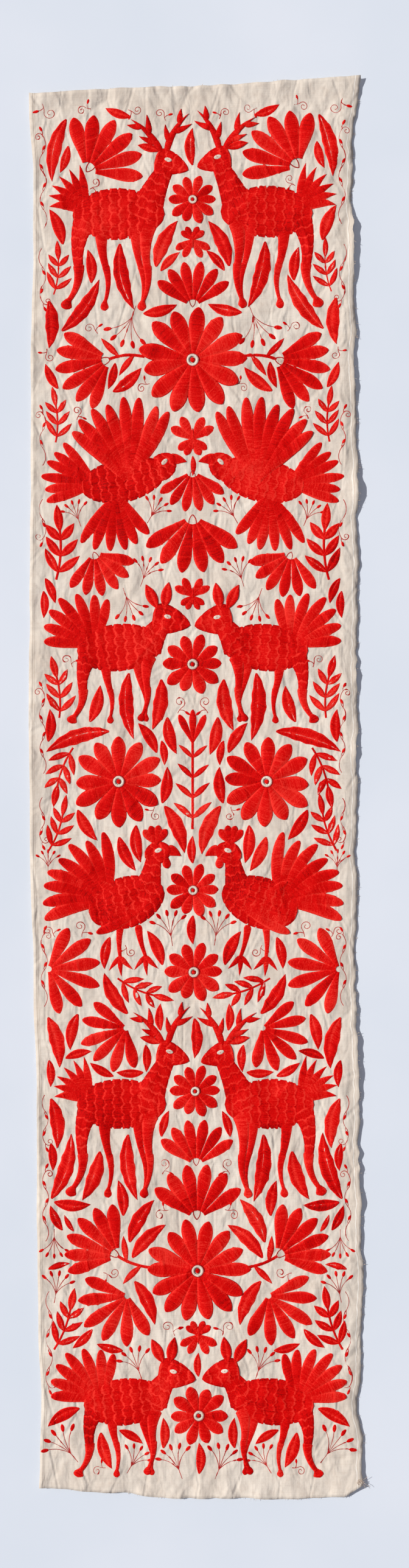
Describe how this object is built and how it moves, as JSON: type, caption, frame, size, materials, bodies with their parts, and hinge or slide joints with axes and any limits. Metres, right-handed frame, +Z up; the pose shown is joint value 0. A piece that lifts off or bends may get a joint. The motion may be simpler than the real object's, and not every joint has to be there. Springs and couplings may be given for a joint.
{
  "type": "embroidered table runner",
  "caption": "Long pale cotton runner lying flat, covered in raised red satin-stitch animals, flowers and leaves, with wavy raw margins.",
  "frame": {"origin": "middle of the runner's outline, on the surface it lies on", "axes": "+Z up from the surface, +Y along the runner's length towards the end that slopes, +X across it towards the lifted edge"},
  "size_m": [0.419, 1.7888, 0.0118],
  "materials": {
    "cotton": "matt plain weave, unbleached",
    "red_thread": "satin stitch with a soft sheen"
  },
  "bodies": {
    "root": {"bloom_a_left": "red_thread", "bloom_a_right": "red_thread", "bloom_b": "red_thread", "bloom_c": "red_thread", "bloom_d": "red_thread", "bloom_e_left": "red_thread", "bloom_e_right": "red_thread", "bloom_f": "red_thread", "bloom_g": "red_thread", "branch_low": "red_thread", "branch_top": "red_thread", "butterfly_a": "red_thread", "butterfly_b": "red_thread", "butterfly_c": "red_thread", "butterfly_d": "red_thread", "cloth": "cotton", "dove_left": "red_thread", "dove_right": "red_thread", "fox_low_left": "red_thread", "fox_low_right": "red_thread", "fox_upper_left": "red_thread", "fox_upper_right": "red_thread", "leaf_a_left": "red_thread", "leaf_a_right": "red_thread", "leaf_b_left": "red_thread", "leaf_b_right": "red_thread", "leaf_c_left": "red_thread", "leaf_c_right": "red_thread", "leaf_d_left": "red_thread", "leaf_d_right": "red_thread", "leaf_e_left": "red_thread", "leaf_e_right": "red_thread", "leaf_f_left": "red_thread", "leaf_f_right": "red_thread", "leaf_g_left": "red_thread", "leaf_g_right": "red_thread", "rooster_left": "red_thread", "rooster_right": "red_thread", "rosette_a": "red_thread", "rosette_b": "red_thread", "rosette_c": "red_thread", "rosette_d": "red_thread", "rosette_e": "red_thread", "rosette_f": "red_thread", "rosette_wide_left": "red_thread", "rosette_wide_right": "red_thread", "sprig": "red_thread", "stag_low_left": "red_thread", "stag_low_right": "red_thread", "stag_top_left": "red_thread", "stag_top_right": "red_thread", "tuft_a_left": "red_thread", "tuft_a_right": "red_thread", "tuft_b_left": "red_thread", "tuft_b_right": "red_thread", "tuft_c_left": "red_thread", "tuft_c_right": "red_thread"}
  },
  "joints": []
}
